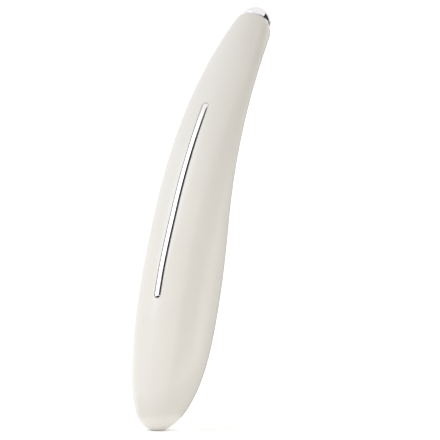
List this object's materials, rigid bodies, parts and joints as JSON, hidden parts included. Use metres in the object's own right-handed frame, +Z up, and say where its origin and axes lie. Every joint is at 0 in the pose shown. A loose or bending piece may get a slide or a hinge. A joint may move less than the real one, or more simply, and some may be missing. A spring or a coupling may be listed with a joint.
{
  "type": "heated eye massager wand",
  "caption": "Slim curved hand wand with a warm vibrating metal dome tip, a touch strip on the front and a press key on the back.",
  "frame": {"origin": "centre of the flat round foot, at the mouth of the charging socket", "axes": "+Z up from the foot, -Y to the convex front with the touch strip, +Y to the concave back with the key, X to the sides"},
  "size_m": [0.0264, 0.0717, 0.1345],
  "materials": {
    "ivory_shell": "pearl ivory gloss lacquer over moulded ABS",
    "chrome_plating": "bright chrome plating",
    "white_plastic": "white heat-proof plastic",
    "seal_rubber": "soft pale silicone",
    "clear_plastic": "clear acrylic",
    "plated_socket": "nickel plating",
    "gold_contact": "gold plated spring brass",
    "frame_plastic": "light grey moulded plastic",
    "cell_wrap": "blue film over an aluminium can",
    "nickel": "nickel strip",
    "foam": "black foam pads",
    "board_laminate": "green solder mask",
    "switch_body": "dark moulded plastic",
    "switch_plunger": "black plastic",
    "chip_resin": "black resin",
    "coil_ferrite": "dark ferrite",
    "ceramic_parts": "tan ceramic",
    "led_body": "white resin",
    "screw_steel": "zinc plated steel",
    "sleeve_rubber": "black rubber",
    "motor_steel": "nickel plated deep-drawn steel",
    "magnet": "dark sintered magnet",
    "end_cap_plastic": "dark plastic",
    "copper_winding": "enamelled copper wire",
    "heavy_metal": "sintered tungsten alloy",
    "heater_film": "copper and amber film",
    "thermal_pad": "soft blue-grey pad",
    "sensor_bead": "black glazed bead",
    "lead_red": "red silicone insulation",
    "lead_black": "black silicone insulation",
    "lead_yellow": "yellow silicone insulation",
    "lead_blue": "blue silicone insulation",
    "lead_white": "white silicone insulation"
  },
  "bodies": {
    "wand": {"body_shell": "ivory_shell", "back_cover": "ivory_shell", "base_cap": "ivory_shell", "trim_strip": "chrome_plating", "massage_head": "chrome_plating", "insulating_ring": "white_plastic", "button_seal": "seal_rubber", "light_pipe": "clear_plastic", "charge_socket": "plated_socket", "socket_contact": "gold_contact", "chassis": "frame_plastic", "head_carrier": "frame_plastic", "battery_cell": "cell_wrap", "battery_tab_top": "nickel", "battery_tab_bottom": "nickel", "strip_terminal": "nickel", "battery_pads": "foam", "circuit_board": "board_laminate", "tact_switch": "switch_body", "control_chip": "chip_resin", "charging_coil": "coil_ferrite", "board_parts": "ceramic_parts", "status_led": "led_body", "board_screws": "screw_steel", "motor_sleeve": "sleeve_rubber", "motor_case": "motor_steel", "motor_magnet": "magnet", "motor_end_cap": "end_cap_plastic", "heater_plate": "heater_film", "thermal_pad": "thermal_pad", "temperature_sensor": "sensor_bead", "battery_lead_plus": "lead_red", "battery_lead_minus": "lead_black", "socket_leads": "lead_yellow", "strip_lead": "lead_yellow", "motor_leads": "lead_blue", "heater_lead": "lead_white", "sensor_lead": "lead_white"},
    "key": {"power_button": "ivory_shell", "switch_plunger": "switch_plunger"},
    "rotor": {"motor_rotor": "copper_winding", "motor_shaft": "motor_steel", "eccentric_weight": "heavy_metal"}
  },
  "joints": [
    {"name": "key_press", "type": "slide", "parent": "wand", "child": "key", "axis": [0, -0.9214, 0.3887], "range_m": [0, 0.0004], "stiffness_N_per_m": 4000},
    {"name": "motor_spin", "type": "hinge", "parent": "wand", "child": "rotor", "pos_m": [0, 0.04275, 0.11074], "axis": [0, 0.6131, 0.79], "continuous": true}
  ]
}
